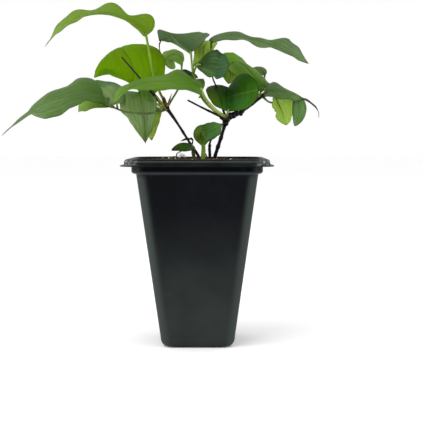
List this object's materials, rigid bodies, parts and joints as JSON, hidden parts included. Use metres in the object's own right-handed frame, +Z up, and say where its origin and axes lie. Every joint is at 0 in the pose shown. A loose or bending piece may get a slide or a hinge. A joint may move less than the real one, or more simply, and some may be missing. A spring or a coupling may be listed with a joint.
{
  "type": "potted climbing plant",
  "caption": "Young leafy clematis vine, not in flower, standing in peaty soil in a tall tapered square black nursery pot with a flanged, beaded rim.",
  "frame": {"origin": "centre of the flat underside of the pot, on the surface that the pot stands on", "axes": "+Z up, +X to the right as seen from the pictured front, +Y away from the front; the pot's four flat sides face +X, -X, +Y and -Y"},
  "size_m": [0.216, 0.1089, 0.2418],
  "materials": {
    "pot_plastic": "satin",
    "soil": "matte",
    "perlite": "matte",
    "old_stem": "matte",
    "bud": "satin",
    "leaf": "satin",
    "sunlit_leaf": "satin",
    "pale_leaf": "satin",
    "blue_leaf": "satin",
    "dark_leaf": "satin"
  },
  "bodies": {
    "root": {"pot": "pot_plastic", "soil": "soil", "perlite_grain": "perlite", "left_vine": "old_stem", "right_vine": "old_stem", "dead_stub": "old_stem", "dead_spike": "old_stem", "dry_tendril": "old_stem", "left_bud": "bud", "top_left_leaf": "sunlit_leaf", "left_back_leaf": "sunlit_leaf", "left_front_leaf": "leaf", "left_lower_leaf": "sunlit_leaf", "left_middle_leaf": "blue_leaf", "hanging_leaf": "blue_leaf", "hanging_side_leaf": "pale_leaf", "long_front_leaf": "leaf", "crown_left_leaf": "leaf", "crown_inner_leaf": "pale_leaf", "crown_front_leaf": "blue_leaf", "heart_leaf": "dark_leaf", "top_right_leaf": "leaf", "right_arching_leaf": "pale_leaf", "right_back_leaf": "leaf", "far_right_leaf": "leaf", "far_right_light_leaf": "pale_leaf", "far_right_blue_leaf": "blue_leaf", "small_back_leaf": "leaf", "crumpled_back_leaf": "leaf", "basal_spoon_leaf": "leaf", "basal_low_leaf": "dark_leaf", "basal_sickle_leaf": "old_stem"}
  },
  "joints": []
}
